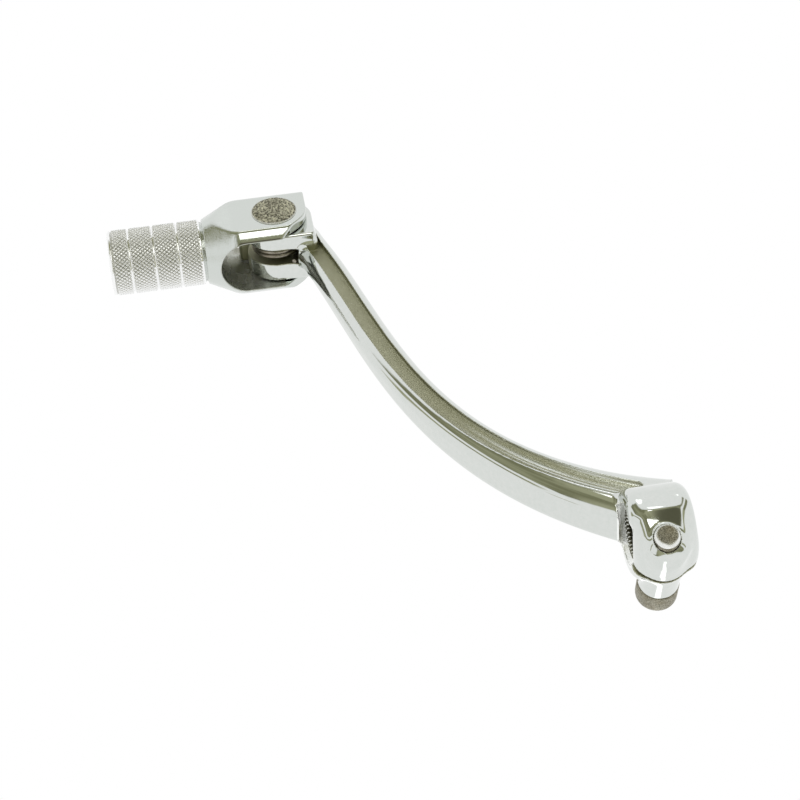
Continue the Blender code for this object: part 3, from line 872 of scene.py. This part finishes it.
def tube(name, path, radius, segments):
    """Round wire along a path, with domed ends."""
    path = np.asarray(path, float)
    tangent = np.gradient(path, axis=0)
    tangent /= np.linalg.norm(tangent, axis=1)[:, None]
    side = np.cross(tangent, (0.0, 0.0, 1.0))
    side /= np.linalg.norm(side, axis=1)[:, None]
    other = np.cross(side, tangent)
    angle = ring_angles(segments)[:, None]
    rings = [(centre, k, radius) for k, centre in enumerate(path)]
    for share in (0.35, 0.75):
        lift = radius * 0.35 * share
        shrink = radius * math.sqrt(1 - share**2 * 0.55)
        rings.insert(0, (path[0] - tangent[0] * lift, 0, shrink))
        rings.append((path[-1] + tangent[-1] * lift, len(path) - 1, shrink))
    points = []
    for centre, k, r in rings:
        points.append(centre + r * (side[k] * np.cos(angle) + other[k] * np.sin(angle)))
    points, faces = capped(np.concatenate(points), len(rings), segments)
    return make_object(name, points, faces)


def build_spring():
    """Torsion spring: a short leg in the fork, the coils, and a long leg into the clevis."""
    start = math.radians(-110.0)
    turns = 2 + 110.0 / 360.0
    first = np.array((math.cos(start), math.sin(start))) * COIL_RADIUS + (PIVOT_X, PIVOT_Y)
    backwards = np.array((math.sin(start), -math.cos(start)))
    path = []
    for share in np.linspace(1.0, 0.02, 12):
        path.append((*(first + backwards * SHORT_LEG * share), COIL_BASE))
    for turn in np.linspace(0, turns, 170):
        a = start + 2 * math.pi * turn
        x = PIVOT_X + COIL_RADIUS * math.cos(a)
        y = PIVOT_Y + COIL_RADIUS * math.sin(a)
        path.append((x, y, COIL_BASE + COIL_PITCH * turn))
    x, y, z = path[-1]
    path += [(x, far, z) for far in np.linspace(y + 0.3, LEG_END, 14)]
    obj = tube("return_spring_wire", path, WIRE_RADIUS, 18)
    obj.data.materials.append(SPRING)
    return obj


def build_bolt():
    """Cap screw with a hexagon socket, a threaded shank and a chamfered, slightly dished end."""
    segments = 96
    angle = ring_angles(segments)
    hexagon = SOCKET_HALF / np.cos((angle + math.pi / 6) % (math.pi / 3) - math.pi / 6)
    seat = BOLT_SEAT - 0.15
    end = seat - BOLT_HEAD_HEIGHT
    corner = 0.55
    profile = [(end + 3.0, hexagon * 0.05), (end + 2.6, hexagon * 0.96)]
    profile += [(end + 0.3, hexagon), (end, hexagon * 1.07)]
    for step in np.linspace(0.0, math.pi / 2, 6):
        reach = BOLT_HEAD_RADIUS - corner + corner * math.sin(step)
        profile.append((end + corner * (1 - math.cos(step)), reach))
    profile += [(seat - 0.25, BOLT_HEAD_RADIUS), (seat, BOLT_HEAD_RADIUS - 0.25)]
    profile += [(seat + 0.01, BOLT_RADIUS), (seat + 2.4, BOLT_RADIUS - 0.03)]
    for w in np.arange(seat + 2.5, BOLT_TIP - 1.1, 0.1):
        phase = (w - angle / (2 * math.pi)) % 1.0
        depth = BOLT_THREAD * smoothstep(w, seat + 2.5, seat + 3.5)
        profile.append((w, BOLT_RADIUS - depth * (1 - np.abs(phase - 0.5) * 2)))
    chamfer = ((1.0, 2.95), (0.6, 2.8), (0.25, 2.55), (0.05, 2.42), (0.0, 2.3))
    dish = ((0.03, 2.1), (0.12, 1.8), (0.2, 1.5), (0.24, 1.15), (0.25, 0.8), (0.26, 0.45), (0.26, 0.2))
    profile += [(BOLT_TIP - drop, r) for drop, r in chamfer + dish]
    points = profile_points(profile, segments)[:, [0, 2, 1]]
    points, faces = capped(points, len(profile), segments)
    reach = np.hypot(points[:, 0], points[:, 1])
    tip = points[:, 2] > BOLT_TIP - 1.05
    points[:, 0] += BOLT_X
    rough = 0.09 * value_noise(points, 0.8, 41) + 0.07 * value_noise(points, 0.4, 43)
    points[:, 2] += np.where(tip & (reach < 2.5), rough, 0.0)
    obj = make_object("pinch_bolt_screw", out_of_clamp_frame(points), faces)
    # painted highlight: a bright ring on the chamfer at the tip
    set_mask(obj, "bright", tip * smoothstep(reach, 2.15, 2.5))
    obj.data.materials.append(BOLT)
    return obj


def place(obj, body, slot, *nodes):
    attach(obj, body)
    if nodes:
        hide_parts(*nodes)


place(build_lever(), "lever", "polished_aluminium", "lever_arm")
place(build_teeth(), "lever", "polished_aluminium")
place(build_clevis(), "peg", "knurled_aluminium", "toe_peg")
place(build_grip(), "peg", "knurled_aluminium")
place(build_rivet(), "peg", "raw_steel", "pivot_rivet")
place(build_spring(), "lever", "spring_steel", "return_spring")
place(build_bolt(), "lever", "bolt_steel", "pinch_bolt")


# ------------------------------------------------------------ studio, metres

MIDDLE = Vector((0.065, 0.04, 0.0))
FLOOR_Z = -0.06
CAMERA_PLACE = (-0.403546, 0.097118, 0.376456)
CAMERA_TURN = (50.854, 3.040, -98.424)    # degrees
CAMERA_LENS = 112.5
ROOM_DARK, ROOM_LIGHT = (0.22, 0.22, 0.13), (0.42, 0.42, 0.28)
DARK_SPOTS = (    # direction, inner and outer angle in degrees, colour
    ((0.12, -0.34, 0.93), 8.0, 22.0, (0.12, 0.118, 0.075)),
    ((-0.80, 0.02, 0.55), 6.0, 12.0, (0.07, 0.055, 0.05)),
)
BRIGHT_SPOTS = (
    ((-0.62, -0.34, 0.71), 4.0, 5.0),
    ((0.65, -0.12, 0.75), 3.0, 4.5),
    ((0.42, -0.02, 0.91), 2.0, 3.5),
)


class Sky(Tree):
    """Masks from 0 to 1 over the directions around the object; x, y and z are a direction's parts."""

    def __init__(self, tree):
        super().__init__(tree, "Generated")
        split = self.add("ShaderNodeSeparateXYZ")
        self.feed(split.inputs[0], self.coords)
        self.x, self.y, self.z = split.outputs

    def ramp(self, value, low, high):
        return self.remap(value, low, high, interpolation="SMOOTHSTEP")

    def all_of(self, *masks):
        total = masks[0]
        for mask in masks[1:]:
            total = self.math("MULTIPLY", total, mask)
        return total

    def without(self, mask):
        return self.math("SUBTRACT", 1.0, mask)

    def spot(self, direction, inner, outer):
        node = self.add("ShaderNodeVectorMath")
        node.operation = "DOT_PRODUCT"
        self.feed(node.inputs[0], self.coords)
        self.feed(node.inputs[1], Vector(direction).normalized())
        low, high = math.cos(math.radians(outer)), math.cos(math.radians(inner))
        return self.ramp(node.outputs["Value"], low, high)


def build_sky(tree):
    """Surroundings by direction: white behind, an olive room with white panels above and nearer."""
    sky = Sky(tree)
    drift = sky.noise(2.6, 2.0, 0.5)
    edge = sky.math("MULTIPLY_ADD", drift, 0.3, sky.math("SUBTRACT", sky.x, 0.15))
    side_panel = sky.all_of(sky.ramp(sky.x, -0.26, -0.36), sky.ramp(sky.y, 0.26, 0.34),
                            sky.ramp(sky.z, 0.06, 0.1))
    right_gap = sky.all_of(sky.ramp(sky.y, -0.68, -0.72), sky.ramp(sky.y, -0.84, -0.80))
    right_panel = sky.all_of(sky.ramp(sky.y, -0.56, -0.62), sky.without(right_gap))
    left_gap = sky.all_of(sky.ramp(sky.y, 0.85, 0.87), sky.ramp(sky.y, 0.93, 0.91))
    left_panel = sky.all_of(sky.ramp(sky.y, 0.74, 0.78), sky.without(left_gap))
    room = sky.all_of(sky.ramp(edge, 0.56, 0.48), sky.ramp(sky.z, 0.0, 0.03))
    for panel in (side_panel, right_panel, left_panel):
        room = sky.all_of(room, sky.without(panel))
    colour = sky.mix(sky.ramp(drift, 0.38, 0.62), ROOM_DARK, ROOM_LIGHT)
    for direction, inner, outer, dark in DARK_SPOTS:
        colour = sky.mix(sky.spot(direction, inner, outer), colour, dark)
    shown = sky.mix(room, (1.0, 1.0, 1.0), colour)
    for direction, inner, outer in BRIGHT_SPOTS:
        shown = sky.mix(sky.spot(direction, inner, outer), shown, (2.6, 2.6, 2.6))
    return shown


def build_world():
    """The sky lights the object; the camera itself sees plain white."""
    world = bpy.data.worlds.new("studio")
    bpy.context.scene.world = world
    world.use_nodes = True
    nodes, links = world.node_tree.nodes, world.node_tree.links
    lit = nodes["Background"]
    links.new(build_sky(world.node_tree), lit.inputs["Color"])
    white = nodes.new("ShaderNodeBackground")
    white.inputs["Color"].default_value = (1.0, 1.0, 1.0, 1.0)
    chooser = nodes.new("ShaderNodeMixShader")
    links.new(nodes.new("ShaderNodeLightPath").outputs["Is Camera Ray"], chooser.inputs[0])
    links.new(lit.outputs[0], chooser.inputs[1])
    links.new(white.outputs[0], chooser.inputs[2])
    links.new(chooser.outputs[0], nodes["World Output"].inputs["Surface"])


def glow_material(name, strength):
    material = bpy.data.materials.new(name)
    material.use_nodes = True
    tree = material.node_tree
    tree.nodes.clear()
    glow = tree.nodes.new("ShaderNodeEmission")
    glow.inputs["Color"].default_value = (1.0, 1.0, 1.0, 1.0)
    glow.inputs["Strength"].default_value = strength
    out = tree.nodes.new("ShaderNodeOutputMaterial")
    tree.links.new(glow.outputs[0], out.inputs["Surface"])
    return material


def add_sheet(name, centre, width, height, glow, seen):
    """Level sheet that glows upwards."""
    w, h = width / 2, height / 2
    mesh = bpy.data.meshes.new(name)
    mesh.from_pydata([(-w, -h, 0), (w, -h, 0), (w, h, 0), (-w, h, 0)], [], [(0, 1, 2, 3)])
    mesh.materials.append(glow_material(name + "_glow", glow))
    obj = bpy.data.objects.new(name, mesh)
    obj.location = centre
    bpy.context.scene.collection.objects.link(obj)
    obj.visible_camera = seen
    obj.visible_shadow = False


def add_light(name, direction, distance, width, height, radiance):
    """Rectangular soft light that faces the object from a direction."""
    light = bpy.data.lights.new(name, "AREA")
    light.shape = "RECTANGLE"
    light.size, light.size_y = width, height
    light.energy = radiance * math.pi * width * height
    obj = bpy.data.objects.new(name, light)
    bpy.context.scene.collection.objects.link(obj)
    direction = Vector(direction).normalized()
    obj.location = MIDDLE + direction * distance
    obj.rotation_euler = direction.to_track_quat("Z", "Y").to_euler()
    obj.visible_camera = False


def add_camera():
    data = bpy.data.cameras.new("camera")
    data.lens = CAMERA_LENS
    data.sensor_width = 36.0
    data.clip_start = 0.01
    camera = bpy.data.objects.new("camera", data)
    bpy.context.scene.collection.objects.link(camera)
    camera.location = CAMERA_PLACE
    camera.rotation_euler = [math.radians(angle) for angle in CAMERA_TURN]
    bpy.context.scene.camera = camera


build_world()
add_sheet("floor", (MIDDLE.x, MIDDLE.y, FLOOR_Z), 6.0, 6.0, glow=1.0, seen=True)
add_sheet("floor_strip", (-0.06, 0.004, FLOOR_Z + 0.0002), 0.16, 0.013, glow=1.6, seen=False)
add_light("key", (-0.14, -0.01, 0.46), distance=0.481, width=0.18, height=0.24, radiance=2.6)
add_camera()
bpy.context.scene.view_settings.view_transform = "Standard"
